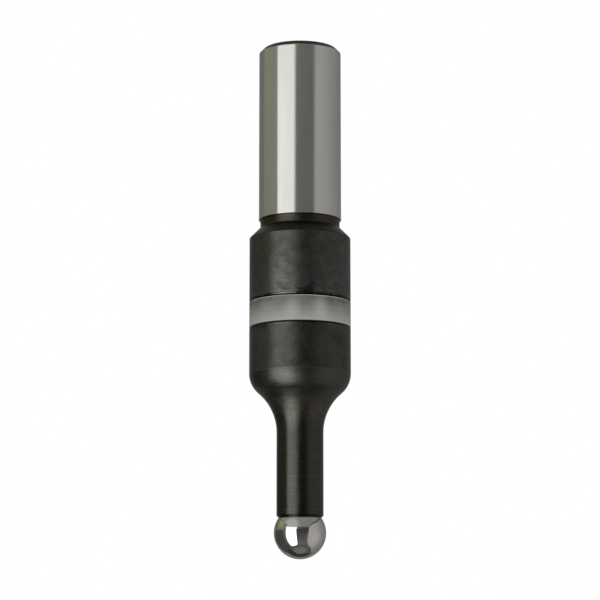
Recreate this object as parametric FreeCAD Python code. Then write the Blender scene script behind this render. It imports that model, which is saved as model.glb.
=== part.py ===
import FreeCAD, Part
import math
import os

# Optical edge finder for a milling machine: a 16 mm shank that goes in the spindle, a black
# body with a lit window ring, and a 10 mm ball held in the stem's seat by a tension spring.
# Millimetres. Z is the spindle's axis, and z = 0 is the ball's lowest point.

# Outside, from the ball up
ball_diameter = 10.0
stem_diameter = 9.0
stem_length = 16.3            # the straight part, from the nose to the fillet
nose_chamfer = 0.35
head_diameter = 19.6          # the stem's head, the window ring and the collar are flush
head_length = 8.85            # its straight part
head_round = 4.9              # radius where the head's side turns in
head_flank = 0.77             # straight slope between the round and the fillet
stem_fillet = 10.0            # radius down into the stem
window_height = 5.0
rim_chamfer = 0.15            # on the edges that meet at the window ring
collar_length = 12.53         # its straight part
collar_slope = 45.0           # degrees, on the collar's shoulder
neck_relief = 0.3             # depth of the neck under the ground shank
neck_length = 1.3
shank_diameter = 16.0
shank_length = 34.56
shank_end_chamfer = 0.95

# The ball's seat and the spring that holds the ball in it
seat_half_angle = 40.0        # degrees, from the axis to the cone
seat_land = 0.06              # flat rim between the cone and the nose chamfer
seat_gap = 0.02               # between ball and cone
spring_bore = 5.2
stud_diameter = 2.4
stud_depth = 5.4              # how far the stud goes into the ball
stud_reach = 3.5              # from the ball's top to the stud's end
stud_tab = 0.9                # thickness of the flat tab at its end
stud_eye = 1.1                # hole for the hook
press_gap = 0.01              # between pieces pressed or bonded together
tension_wire = 0.5
tension_radius = 1.9          # to the middle of the wire
tension_turns = 11
tension_coil = 10.5           # length of the coil as fitted, pulled out
hook_bend = 0.5               # radius where the wire leaves the coil
hook_leg = 0.6                # straight wire between the upper hook and its bend
hook_tail = 0.8               # straight end after each hook
hook_play = 0.1               # between the lower hook and the top of the stud's eye
runs_per_turn = 12            # straight runs of wire in each turn of a spring
anchor_diameter = 1.5
anchor_length = 9.0
anchor_slot_depth = 2.1       # below the head's floor

# The window ring with what it carries
head_socket_depth = 4.2
spigot_end_gap = 0.15         # between the lower spigot and the head's floor
cell_entry_gap = 0.45         # between the cell and the ring's upper bore
spigot_wall = 0.59            # of the upper spigot
board_gap = 0.1               # between the board and the ring's upper bore
board_ledge_width = 0.7       # under the board's edge
board_thickness = 1.0
board_ledge_depth = 0.9       # below the window's upper face
board_notch = 0.6             # radius
sleeve_length = 5.8
sleeve_wall = 0.75
sleeve_chamfer = 0.35
thread_gap = 0.05             # between the sleeve's thread and the collar's
thread_run_out = 0.5          # thread in the collar past the sleeve's end
seal_thickness = 0.9
seal_gap = 0.05
seal_side_angle = 45          # degrees between the sides of its round section
led_count = 3
led_margin = 0.5              # between a lamp and the ring's lower bore
led_size = (1.6, 2.0, 0.4)    # radial, across, thick
led_lens = (0.65, 0.4, 0.5)   # radius at its foot and its top, height
resistor_size = (1.1, 2.0, 0.5)
solder_gap = 0.01
contact_wire = 0.4
contact_floor_radius = 3.4    # middle of the wire, on the head's floor
contact_board_radius = 1.5    # middle of the wire, under the board
contact_turns = 4

# The cell and what holds it in the shank
touch_gap = 0.02              # between pieces that press on each other
pad_height = 0.6
pad_bevel = 0.25
cell_diameter = 10.3
cell_length = 28.5            # with its button
cell_button_diameter = 4.4
cell_button_height = 1.5
cell_edge = 0.4
cell_recess = 0.2             # the dished negative end
cell_play = 0.25              # between the cell and its bore in the shank
cell_spring_wire = 0.6
cell_spring_length = 5.5      # as fitted, pressed together
cell_spring_play = 0.7        # between its widest turn and the bore
cell_spring_cell_radius = 2.5
cell_spring_turns = 4
guard_gap = 0.1               # between the guard and the cell's shoulder

# Centre hole in the shank's end, for grinding between centres
centre_mouth = 3.2            # diameter
centre_pilot = 1.5            # diameter
centre_pilot_depth = 3.4
centre_half_angle = 30.0      # degrees

ORIGIN = FreeCAD.Vector(0, 0, 0)
UP = FreeCAD.Vector(0, 0, 1)
ALONG_Y = FreeCAD.Vector(0, 1, 0)

ball_radius = ball_diameter / 2
stem_radius = stem_diameter / 2
head_radius = head_diameter / 2
shank_radius = shank_diameter / 2
neck_radius = shank_radius - neck_relief
stud_radius = stud_diameter / 2
bore_radius = spring_bore / 2
cell_radius = cell_diameter / 2
cell_bore_radius = cell_radius + cell_play
button_radius = cell_button_diameter / 2


def tan(degrees):
    return math.tan(math.radians(degrees))


def sin(degrees):
    return math.sin(math.radians(degrees))


def cos(degrees):
    return math.cos(math.radians(degrees))


# The seat is a cone that would touch a ball larger by the gap
seat_apex_z = ball_radius + (ball_radius + seat_gap) / sin(seat_half_angle)
nose_radius = stem_radius - nose_chamfer
mouth_radius = nose_radius - seat_land
nose_z = seat_apex_z - mouth_radius / tan(seat_half_angle)
bore_foot_z = seat_apex_z - bore_radius / tan(seat_half_angle)

# Round, flank and fillet turn through one angle, which closes the step from head to stem
turn_radii = head_round + stem_fillet
step_in = head_radius - stem_radius
turn_angle = math.degrees(
    math.acos((turn_radii - step_in) / math.hypot(turn_radii, head_flank))
    - math.atan2(head_flank, turn_radii)
)
turn_height = turn_radii * sin(turn_angle) + head_flank * cos(turn_angle)

# Levels, from the nose up
stem_top_z = nose_z + stem_length
head_foot_z = stem_top_z + turn_height
head_top_z = head_foot_z + head_length
window_top_z = head_top_z + window_height
collar_top_z = window_top_z + collar_length
neck_foot_z = collar_top_z + (head_radius - neck_radius) / tan(collar_slope)
shank_foot_z = neck_foot_z + neck_length
top_z = shank_foot_z + shank_length

floor_z = head_top_z - head_socket_depth
sleeve_top_z = window_top_z + sleeve_length
thread_end_z = sleeve_top_z + thread_run_out

# From the cell outwards: the ring's upper bore and spigot, the sleeve, and its thread
entry_radius = cell_radius + cell_entry_gap
board_radius = entry_radius - board_gap
window_bore_radius = board_radius - board_ledge_width
spigot_radius = entry_radius + spigot_wall
sleeve_bore_radius = spigot_radius + press_gap
sleeve_radius = sleeve_bore_radius + sleeve_wall
socket_radius = sleeve_radius + thread_gap
recess_radius = sleeve_radius + touch_gap + seal_thickness + seal_gap
led_circle = window_bore_radius - led_margin - led_size[0] / 2
cell_spring_end_radius = cell_bore_radius - cell_spring_play - cell_spring_wire / 2

board_foot_z = window_top_z - board_ledge_depth
board_top_z = board_foot_z + board_thickness
pad_top_z = board_top_z + pad_height
cell_foot_z = pad_top_z + touch_gap
cell_top_z = cell_foot_z + cell_length
cell_bore_end_z = cell_top_z + cell_spring_length

anchor_z = floor_z - anchor_slot_depth + anchor_diameter / 2 + touch_gap
stud_end_z = ball_diameter + stud_reach
eye_z = stud_end_z - stud_radius


def on_side(point):
    # A point of an outline, (radius, height), in the XZ plane
    return FreeCAD.Vector(point[0], 0, point[1])


def turned(outline):
    # Turns a closed outline about Z. A step is a corner (radius, height), or a pair
    # of points, an arc's middle and its end.
    edges = []
    here = outline[0]
    for step in outline[1:] + outline[:1]:
        if isinstance(step[0], tuple):
            middle, there = step
            arc = Part.Arc(on_side(here), on_side(middle), on_side(there))
            edges.append(arc.toShape())
        else:
            there = step
            edges.append(Part.LineSegment(on_side(here), on_side(there)).toShape())
        here = there
    return Part.Face(Part.Wire(edges)).revolve(ORIGIN, UP, 360)


def arc_step(centre, radius, first, last):
    # An arc step for turned(), about centre, between two directions in degrees
    middle = (first + last) / 2
    return tuple(
        (centre[0] + radius * cos(angle), centre[1] + radius * sin(angle))
        for angle in (middle, last)
    )


def placed(shape, x=0.0, y=0.0, z=0.0, turn=0.0):
    # Moves a shape, then turns it about the axis
    shape.translate(FreeCAD.Vector(x, y, z))
    shape.rotate(ORIGIN, UP, turn)
    return shape


def make_shank_body():
    # Shank, relief neck and collar in one turned piece, bored from below for the cell
    outside = [
        (recess_radius, window_top_z),
        (head_radius - rim_chamfer, window_top_z),
        (head_radius, window_top_z + rim_chamfer),
        (head_radius, collar_top_z),
        (neck_radius, neck_foot_z),
        (neck_radius, shank_foot_z),
        (shank_radius, shank_foot_z + (shank_radius - neck_radius)),
        (shank_radius, top_z - shank_end_chamfer),
        (shank_radius - shank_end_chamfer, top_z),
    ]
    mouth = centre_mouth / 2
    pilot = centre_pilot / 2
    centre_hole = [
        (mouth, top_z),
        (pilot, top_z - (mouth - pilot) / tan(centre_half_angle)),
        (pilot, top_z - centre_pilot_depth),
        (0, top_z - centre_pilot_depth - pilot * tan(centre_half_angle)),
    ]
    recess_top_z = window_top_z + seal_thickness + seal_gap
    inside = [
        (0, cell_bore_end_z),
        (cell_bore_radius, cell_bore_end_z),
        (cell_bore_radius, thread_end_z),
        (socket_radius, thread_end_z),
        (socket_radius, recess_top_z),
        (recess_radius, recess_top_z),
    ]
    return turned(outside + centre_hole + inside)


def make_probe_body():
    # Head and stem in one turned piece, with the ball's seat in its nose
    round_centre = (head_radius - head_round, head_foot_z)
    fillet_centre = (stem_radius + stem_fillet, stem_top_z)
    body = turned([
        (bore_radius, bore_foot_z),
        (mouth_radius, nose_z),
        (nose_radius, nose_z),
        (stem_radius, nose_z + nose_chamfer),
        (stem_radius, stem_top_z),
        arc_step(fillet_centre, stem_fillet, 180, 180 - turn_angle),
        (round_centre[0] + head_round * cos(turn_angle),
         round_centre[1] - head_round * sin(turn_angle)),
        arc_step(round_centre, head_round, -turn_angle, 0),
        (head_radius, head_top_z - rim_chamfer),
        (head_radius - rim_chamfer, head_top_z),
        (socket_radius, head_top_z),
        (socket_radius, floor_z),
        (bore_radius, floor_z),
    ])
    return body.cut(make_anchor_slot())


def make_anchor_slot():
    # Slot across the bore, milled in the head's floor, with round ends
    width = anchor_diameter + 2 * touch_gap
    middle = (anchor_length - anchor_diameter) / 2
    foot_z = floor_z - anchor_slot_depth
    slot = Part.makeBox(2 * middle, width, anchor_slot_depth,
                        FreeCAD.Vector(-middle, -width / 2, foot_z))
    for x in (-middle, middle):
        end = Part.makeCylinder(width / 2, anchor_slot_depth, FreeCAD.Vector(x, 0, foot_z))
        slot = slot.fuse(end)
    return slot.removeSplitter()


def make_anchor_pin():
    # Lies in the slot, and the spring hangs on its middle
    length = anchor_length - anchor_diameter
    start = FreeCAD.Vector(-length / 2, 0, anchor_z)
    return Part.makeCylinder(anchor_diameter / 2, length, start, FreeCAD.Vector(1, 0, 0))


def make_light_ring():
    # Frosted window ring with a spigot at each end, which keeps head and collar apart
    spigot_foot_z = floor_z + spigot_end_gap
    lower_radius = socket_radius - press_gap
    return turned([
        (window_bore_radius, spigot_foot_z),
        (lower_radius, spigot_foot_z),
        (lower_radius, head_top_z),
        (head_radius - rim_chamfer, head_top_z),
        (head_radius, head_top_z + rim_chamfer),
        (head_radius, window_top_z - rim_chamfer),
        (head_radius - rim_chamfer, window_top_z),
        (spigot_radius, window_top_z),
        (spigot_radius, sleeve_top_z),
        (entry_radius, sleeve_top_z),
        (entry_radius, board_foot_z),
        (window_bore_radius, board_foot_z),
    ])


def make_thread_sleeve():
    # Metal sleeve bonded on the upper spigot. Its thread screws into the collar.
    return turned([
        (sleeve_bore_radius, window_top_z),
        (sleeve_radius, window_top_z),
        (sleeve_radius, sleeve_top_z - sleeve_chamfer),
        (sleeve_radius - sleeve_chamfer, sleeve_top_z),
        (sleeve_bore_radius, sleeve_top_z),
    ])


def make_seal_ring():
    # Round rubber ring at the foot of the sleeve, in the collar's recess
    half = seal_thickness / 2
    middle = sleeve_radius + touch_gap + half
    level = window_top_z + half + press_gap
    return turned([(middle + half * cos(angle), level + half * sin(angle))
                   for angle in range(0, 360, seal_side_angle)])


def make_circuit_board():
    board = Part.makeCylinder(board_radius, board_thickness)
    notch = Part.makeCylinder(board_notch, board_thickness)
    notch.translate(FreeCAD.Vector(0, board_radius, 0))
    return placed(board.cut(notch), z=board_foot_z)


def make_leds():
    # Lamps on the board's underside, each a flat base with a tapered lens
    radial, across, thick = led_size
    lens_foot, lens_top, lens_height = led_lens
    lamps = []
    for number in range(led_count):
        base = Part.makeBox(radial, across, thick,
                            FreeCAD.Vector(-radial / 2, -across / 2, -thick))
        lens = Part.makeCone(lens_foot, lens_top, lens_height,
                             FreeCAD.Vector(0, 0, -thick), -UP)
        lamp = placed(base.fuse(lens), x=led_circle, z=board_foot_z - solder_gap,
                      turn=360 * number / led_count)
        lamps.append(lamp)
    return Part.makeCompound(lamps)


def make_resistor():
    # Between two lamps
    radial, across, thick = resistor_size
    block = Part.makeBox(radial, across, thick,
                         FreeCAD.Vector(-radial / 2, -across / 2, -thick))
    return placed(block, x=led_circle, z=board_foot_z - solder_gap, turn=180 / led_count)


def make_battery_contact():
    # Raised pad that the cell's button presses on
    foot_z = board_top_z + solder_gap
    return turned([
        (0, foot_z),
        (button_radius, foot_z),
        (button_radius, pad_top_z - pad_bevel),
        (button_radius - pad_bevel, pad_top_z),
        (0, pad_top_z),
    ])


def make_contact_guard():
    # Moulded ring over the board, which centres the button and keeps the can off the pad
    foot_z = board_top_z + solder_gap
    top = cell_foot_z + cell_button_height - guard_gap
    inner = button_radius + guard_gap
    outer = entry_radius - press_gap
    return turned([(inner, foot_z), (outer, foot_z), (outer, top), (inner, top)])


def make_battery():
    # 12 volt cell, button end down
    shoulder_z = cell_foot_z + cell_button_height
    dish = cell_radius - 2 * cell_edge
    return turned([
        (0, cell_foot_z),
        (button_radius - cell_edge / 2, cell_foot_z),
        (button_radius, cell_foot_z + cell_edge / 2),
        (button_radius, shoulder_z),
        (cell_radius - cell_edge, shoulder_z),
        (cell_radius, shoulder_z + cell_edge),
        (cell_radius, cell_top_z - cell_edge),
        (cell_radius - cell_edge, cell_top_z),
        (dish, cell_top_z),
        (dish - cell_recess, cell_top_z - cell_recess),
        (0, cell_top_z - cell_recess),
    ])


def round_path(middle, radius, first, last, rise=0.0, last_radius=None):
    # Points round the axis from one direction to another, in degrees, as a helix where it
    # rises and as a cone where the radius changes
    runs = max(1, round(abs(last - first) * runs_per_turn / 360))
    grow = 0.0 if last_radius is None else last_radius - radius
    points = []
    for number in range(runs + 1):
        share = number / runs
        angle = first + share * (last - first)
        reach = radius + share * grow
        points.append(middle + FreeCAD.Vector(reach * cos(angle), reach * sin(angle),
                                              share * rise))
    return points


def bow_path(middle, radius, side, first, last):
    # Points of an arc that stands upright, side being the level direction at 0 degrees
    runs = max(1, round(abs(last - first) * runs_per_turn / 360))
    points = []
    for number in range(runs + 1):
        angle = first + number / runs * (last - first)
        points.append(middle + side * (radius * cos(angle)) + UP * (radius * sin(angle)))
    return points


def wire_along(points, wire_diameter):
    # Sweeps a six-sided wire along the points. The same point twice counts once.
    path = [points[0]]
    for point in points[1:]:
        if point.distanceToPoint(path[-1]) > wire_diameter / 100:
            path.append(point)
    turn = FreeCAD.Rotation(UP, path[1] - path[0])
    section = []
    for corner in range(7):
        spoke = FreeCAD.Vector(cos(60 * corner), sin(60 * corner), 0) * (wire_diameter / 2)
        section.append(path[0] + turn.multVec(spoke))
    sharp_corners = 1
    return Part.makePolygon(path).makePipeShell([Part.makePolygon(section)], True, False,
                                                sharp_corners)


def make_battery_spring():
    # Cone spring between the cell and the blind end of its bore
    clear = cell_spring_wire / 2 + touch_gap
    foot = UP * (cell_top_z + clear)
    rise = cell_spring_length - 2 * clear
    return wire_along(round_path(foot, cell_spring_cell_radius, 0, 360 * cell_spring_turns,
                                 rise, cell_spring_end_radius), cell_spring_wire)


def make_contact_spring():
    # Cone spring from the head's floor to the pad under the board
    clear = contact_wire / 2 + touch_gap
    foot = UP * (floor_z + clear)
    rise = board_foot_z - floor_z - 2 * clear
    return wire_along(round_path(foot, contact_floor_radius, 0, 360 * contact_turns,
                                 rise, contact_board_radius), contact_wire)


def make_tension_spring():
    # Coil with a hook at each end. The upper hook hangs on the anchor pin, and the lower
    # one, on a long leg, passes through the stud's eye. Both stand in the YZ plane.
    half_wire = tension_wire / 2
    hook_radius = math.hypot(tension_radius, hook_bend)
    leave = math.degrees(math.atan2(tension_radius, hook_bend))
    upper = UP * (anchor_z + anchor_diameter / 2 + touch_gap - hook_radius + half_wire)
    lower = UP * (eye_z + stud_eye / 2 - half_wire - hook_play + hook_radius)
    coil_top = upper - UP * (hook_leg + hook_bend)
    coil_foot = coil_top - UP * tension_coil

    # The wire bends from each leg into the coil, so the coil starts beside the YZ plane
    start = FreeCAD.Vector(cos(leave), sin(leave), 0) * tension_radius
    outward = (ALONG_Y * hook_radius - start) / hook_bend
    top_bend = bow_path(coil_top + start + UP * hook_bend, hook_bend, outward, 0, -90)
    foot_bend = [FreeCAD.Vector(point.x, -point.y, coil_foot.z + coil_top.z - point.z)
                 for point in reversed(top_bend)]
    points = [upper - ALONG_Y * hook_radius - UP * hook_tail]
    points += bow_path(upper, hook_radius, ALONG_Y, 180, 0)
    points += top_bend
    points += round_path(coil_top, tension_radius, leave,
                         -leave - 360 * tension_turns, -tension_coil)
    points += foot_bend
    points += bow_path(lower, hook_radius, ALONG_Y, 180, 360)
    points.append(lower + ALONG_Y * hook_radius + UP * hook_tail)
    return wire_along(points, tension_wire)


def make_pull_stud():
    # Pin pressed in the ball. Its upper end is a flat, round-headed tab with an eye.
    foot = UP * (ball_diameter - stud_depth)
    across = FreeCAD.Vector(0, -stud_radius, eye_z)
    shaft = Part.makeCylinder(stud_radius, eye_z - foot.z, foot)
    head = Part.makeCylinder(stud_radius, stud_diameter, across, ALONG_Y)
    stud = shaft.fuse(head.common(Part.makeCylinder(stud_radius, stud_end_z - foot.z, foot)))
    flat_depth = stud_radius - stud_tab / 2
    for y in (stud_tab / 2, -stud_tab / 2 - flat_depth):
        corner = FreeCAD.Vector(-stud_radius, y, eye_z - stud_radius)
        stud = stud.cut(Part.makeBox(stud_diameter, flat_depth, stud_diameter, corner))
    return stud.cut(Part.makeCylinder(stud_eye / 2, stud_diameter, across, ALONG_Y))


def make_ball():
    # Hardened ball with a blind hole for the stud
    ball = Part.makeSphere(ball_radius, FreeCAD.Vector(0, 0, ball_radius))
    hole_foot_z = ball_diameter - stud_depth - touch_gap
    hole = Part.makeCylinder(stud_radius + press_gap, ball_diameter,
                             FreeCAD.Vector(0, 0, hole_foot_z))
    return ball.cut(hole)


pieces = {
    "shank_body": make_shank_body,
    "battery_spring": make_battery_spring,
    "battery": make_battery,
    "battery_contact": make_battery_contact,
    "contact_guard": make_contact_guard,
    "circuit_board": make_circuit_board,
    "leds": make_leds,
    "resistor": make_resistor,
    "contact_spring": make_contact_spring,
    "seal_ring": make_seal_ring,
    "thread_sleeve": make_thread_sleeve,
    "light_ring": make_light_ring,
    "probe_body": make_probe_body,
    "anchor_pin": make_anchor_pin,
    "tension_spring": make_tension_spring,
    "pull_stud": make_pull_stud,
    "ball": make_ball,
}

os.makedirs("parts", exist_ok=True)
for name, make in pieces.items():
    shape = make()
    shape.exportStep("parts/" + name + ".step")
    print(name, len(shape.Solids), "solid(s)", round(shape.Volume, 2), "mm3")
print("overall length", round(top_z, 3))
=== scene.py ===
import bpy
import bmesh
from math import acos, atan2, cos, degrees, hypot, pi, radians, sin, tan
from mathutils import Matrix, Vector


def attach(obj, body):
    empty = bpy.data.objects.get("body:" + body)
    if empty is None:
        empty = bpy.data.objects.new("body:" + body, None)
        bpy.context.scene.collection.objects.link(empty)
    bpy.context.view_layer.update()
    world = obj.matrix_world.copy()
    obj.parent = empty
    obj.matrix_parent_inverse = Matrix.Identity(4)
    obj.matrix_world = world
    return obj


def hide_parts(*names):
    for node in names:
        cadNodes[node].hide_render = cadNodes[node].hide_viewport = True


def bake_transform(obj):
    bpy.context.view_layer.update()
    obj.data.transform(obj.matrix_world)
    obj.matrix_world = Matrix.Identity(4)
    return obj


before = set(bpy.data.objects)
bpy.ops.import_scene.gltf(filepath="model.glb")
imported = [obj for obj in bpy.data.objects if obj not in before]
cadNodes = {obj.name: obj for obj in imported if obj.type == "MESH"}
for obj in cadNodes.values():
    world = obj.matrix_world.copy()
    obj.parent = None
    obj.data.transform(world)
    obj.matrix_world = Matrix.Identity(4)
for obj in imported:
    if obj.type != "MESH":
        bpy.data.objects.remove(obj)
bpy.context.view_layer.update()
mm = 0.001


class Value:
    # one output of a node, on which Python's operators add maths nodes
    def __init__(self, graph, node, socket):
        self.graph, self.node, self.socket = graph, node, socket

    def out(self, name):
        return Value(self.graph, self.node, self.node.outputs[name])

    def maths(self, operation, *rest):
        return self.graph.maths(operation, self, *rest)

    def __add__(self, other):
        return self.maths("ADD", other)

    def __sub__(self, other):
        return self.maths("SUBTRACT", other)

    def __rsub__(self, other):
        return self.graph.maths("SUBTRACT", other, self)

    def __mul__(self, other):
        return self.maths("MULTIPLY", other)

    def __truediv__(self, other):
        return self.maths("DIVIDE", other)

    def __rtruediv__(self, other):
        return self.graph.maths("DIVIDE", other, self)

    def __mod__(self, other):
        return self.maths("FLOORED_MODULO", other)

    def __pow__(self, other):
        return self.maths("POWER", other)

    def __abs__(self):
        return self.maths("ABSOLUTE")

    __radd__ = __add__
    __rmul__ = __mul__


class Graph:
    # a node tree, shader or geometry, with one method that adds any node to it
    def __init__(self, tree):
        self.tree = tree
        tree.nodes.clear()

    def add(self, kind, settings=None, sockets=None):
        node = self.tree.nodes.new(kind)
        for key, setting in (settings or {}).items():
            setattr(node, key, setting)
        for key, value in (sockets or {}).items():
            if isinstance(key, int):
                socket = node.inputs[key]
            else:
                socket = next(s for s in node.inputs if s.name == key and s.enabled)
            if isinstance(value, Value):
                self.tree.links.new(value.socket, socket)
            else:
                socket.default_value = value
        return Value(self, node, next((s for s in node.outputs if s.enabled), None))

    def maths(self, operation, *values):
        return self.add("ShaderNodeMath", {"operation": operation}, dict(enumerate(values)))

    def split(self, vector):
        parts = self.add("ShaderNodeSeparateXYZ", {}, {"Vector": vector})
        return parts.out("X"), parts.out("Y"), parts.out("Z")

    def scaled(self, vector, factor):
        return self.add("ShaderNodeVectorMath", {"operation": "SCALE"},
                        {"Vector": vector, "Scale": factor})

    def mix(self, factor, first, second):
        return self.add("ShaderNodeMix", {"data_type": "RGBA"},
                        {"Factor": factor, "A": first, "B": second})

    def ramp(self, value, low, high, first=0.0, last=1.0):
        # from first to last as value goes from low to high, with soft ends
        return self.add("ShaderNodeMapRange", {"interpolation_type": "SMOOTHSTEP"},
                        {"Value": value, "From Min": low, "From Max": high,
                         "To Min": first, "To Max": last})

    def band(self, value, low, high, soft):
        # 1 between low and high, 0 outside, over soft each side
        return (self.ramp(value, low - soft, low + soft)
                * self.ramp(value, high - soft, high + soft, 1.0, 0.0))

    def linear(self, value, low, high, first=0.0, last=1.0):
        # like ramp, with a straight run
        return self.add("ShaderNodeMapRange", {}, {
            "Value": value, "From Min": low, "From Max": high, "To Min": first,
            "To Max": last})

    def lines(self, along, scale, detail=2.0):
        # noise along one direction only, for turned and ground surfaces
        return self.add("ShaderNodeTexNoise", {"noise_dimensions": "1D"},
                        {"W": along, "Scale": scale, "Detail": detail})

    def bump(self, height, distance):
        return self.add("ShaderNodeBump", {}, {"Distance": distance, "Height": height})


def grey(level, warmth=0.0):
    return (level * (1 + warmth), level, level * (1 - 1.5 * warmth), 1.0)


class Spot:
    # where a point of the surface is, with masks by height and by distance from the axis,
    # both in mm, and by direction in degrees
    def __init__(self, graph):
        self.graph = graph
        self.place = graph.add("ShaderNodeTexCoord").out("Object")
        self.x, self.y, self.z = graph.split(self.place)
        self.radius = (self.x * self.x + self.y * self.y).maths("SQRT")
        self.angle = self.y.maths("ARCTAN2", self.x)

    def level(self, low, high, first=0.0, last=1.0):
        return self.graph.ramp(self.z, low * mm, high * mm, first, last)

    def zone(self, low, high, soft):
        return self.graph.band(self.z, low * mm, high * mm, soft * mm)

    def reach(self, low, high, first=0.0, last=1.0):
        return self.graph.ramp(self.radius, low * mm, high * mm, first, last)

    def sector(self, first, last, soft):
        return self.graph.band((self.angle * degrees(1) + 360.0) % 360.0, first, last, soft)

    def noise(self, scale, detail=3.0, coarse=0.55, stretch=None):
        place = self.place
        if stretch:
            place = self.graph.add("ShaderNodeMapping", {}, {"Vector": place,
                                                             "Scale": stretch})
        return self.graph.add("ShaderNodeTexNoise", {"noise_dimensions": "3D"}, {
            "Vector": place, "Scale": scale, "Detail": detail, "Roughness": coarse})


def blankMaterial(name):
    made = bpy.data.materials.new(name)
    made.use_nodes = True
    return made, Graph(made.node_tree)


def material(name, look, **fixed):
    # look gives the sockets that vary, fixed those that are the same all over
    made, graph = blankMaterial(name)
    sockets = {**fixed, **look(graph, Spot(graph))}
    shader = graph.add("ShaderNodeBsdfPrincipled", {}, sockets)
    graph.add("ShaderNodeOutputMaterial", {}, {"Surface": shader})
    return made


# In the looks, scales of noise and lines are per metre. A zone is from and to in mm, and how
# soft its ends are.
oxide = {
    "dark": (0.045, 0.0478, 0.0415, 1.0), "light": (0.090, 0.0945, 0.084, 1.0),
    # a brown tint, and the colour of painted highlights along edges
    "brown": (0.094, 0.080, 0.062, 1.0), "worn": (0.36, 0.36, 0.33, 1.0),
    # a pale tone for mottle and for painted light, and a dark tone for painted shade
    "thin": (0.145, 0.148, 0.134, 1.0), "thick": (0.022, 0.022, 0.020, 1.0),
    # dirt's colour, also used as painted shade in grooves and round the nose, and painted shade
    # in seams
    "dirt": grey(0.012), "gap": grey(0.008),
    "mottle": 420.0, "grain": 4200.0, "brownAreas": 160.0, "mostBrown": 0.22,
    "turning": 9000.0, "broadTurning": 900.0,
    "roughness": (0.25, 0.36), "height": 0.03 * mm, "metallic": 0.935,
}


def oxideLook(graph, spot):
    # blackened turned steel: its colour, roughness and height
    along = spot.z + spot.radius * 0.6
    clouds = spot.noise(oxide["mottle"], 5.0, 0.6)
    grain = spot.noise(oxide["grain"], 2.0, 0.6)
    rings = graph.lines(along, oxide["turning"], 3.0)
    broad = graph.lines(along, oxide["broadTurning"], 1.0)
    tone = clouds * 0.6 + grain * 0.4
    color = graph.mix(graph.ramp(tone, 0.32, 0.68), oxide["dark"], oxide["light"])
    tint = graph.ramp(spot.noise(oxide["brownAreas"]), 0.56, 0.72, 0.0, oxide["mostBrown"])
    color = graph.mix(tint, color, oxide["brown"])
    low, high = oxide["roughness"]
    roughness = low + (high - low) * (clouds * 0.5 + grain * 0.3 + broad * 0.2)
    height = rings + grain * 0.25 + clouds * 0.1
    return color, roughness, height


def patina(graph, spot, color, areas):
    # painted light and shade: broad soft areas made lighter and darker over the blackening
    uneven = graph.ramp(spot.noise(300.0), 0.3, 0.6, 0.6, 1.0)
    for first, last, strength, tone in areas:
        color = graph.mix(spot.sector(first, last, 16.0) * uneven * strength, color,
                          oxide[tone])
    return color


def smudges(graph, spot, marks, edge, upward):
    # dirt that spread from an edge, up or down
    total = None
    for first, last, height, strength in marks:
        reach = spot.sector(first, last, 5.0) * spot.level(edge, edge + upward * height,
                                                           strength, 0.0)
        total = reach if total is None else total.maths("MAXIMUM", reach)
    spread = spot.noise(900.0, 5.0, 0.7, (1.0, 1.0, 2.2))
    fine = spot.noise(3600.0, 2.0, 0.6)
    cut = total * 0.75 + (spread - 0.5) * 1.3 + (fine - 0.5) * 0.7
    return graph.ramp(cut, 0.14, 0.62) * graph.ramp(total, 0.0, 0.2)


shank = {
    "top": 99.9966, "chamfer": 0.95, "radius": 8.0,
    "foot": 65.4366, "neckRadius": 7.7, "neckFoot": 64.1366,
    "collarRadius": 9.8, "collarTop": 62.0366, "collarFoot": 49.5066, "rim": 0.15,
    "recessRadius": 7.92, "recessTop": 50.4566,
    "threadRadius": 7.0, "threadEnd": 55.8066,
    "boreRadius": 5.4, "boreEnd": 84.2266,
    "centreMouth": 1.6, "centrePilot": 0.75, "centreDepth": 3.4, "centreAngle": 60.0,
    "edge": 0.05,             # round on turned edges
    "segments": 256,
    "steelDark": (0.555, 0.555, 0.525, 1.0), "steelLight": (0.60, 0.60, 0.57, 1.0),
    "steelRoughness": 0.10, "steelMetallic": 0.88,
    "grinding": 14000.0,
    "grindingHeight": 0.14,   # against the height of the turning marks
    "shine": (0.139, 0.144, 0.138, 1.0), "cool": (0.078, 0.081, 0.085, 1.0),
    # the cone's colour is painted shade
    "coneColor": grey(0.024), "neckColor": (0.045, 0.043, 0.037, 1.0),
    "landColors": ((0.068, 0.067, 0.058, 1.0), (0.074, 0.066, 0.056, 1.0)),
    "cone": (62.0, 63.9, 0.15), "neck": (62.2, 65.6, 0.2), "land": (64.2, 65.6, 0.1),
    # painted shade in the seam, and painted highlights on two lines above it
    "seam": (49.4, 49.74, 0.03), "rubbed": (49.77, 49.90, 0.03),
    "rubbedAbove": (50.22, 50.32, 0.03),
    # patina of painted light and shade: from and to in degrees, strength, tone
    "patina": [(198, 232, 0.28, "thin"), (288, 312, 0.34, "thick")],
    # dirt along the collar's edge: from and to in degrees, height in mm, strength
    "dirt": [(266, 287, 2.1, 1.0), (280, 336, 0.7, 0.75), (222, 238, 0.7, 0.75),
             (190, 222, 0.5, 0.7), (20, 62, 1.3, 0.9), (96, 150, 0.7, 0.8)],
}


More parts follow.
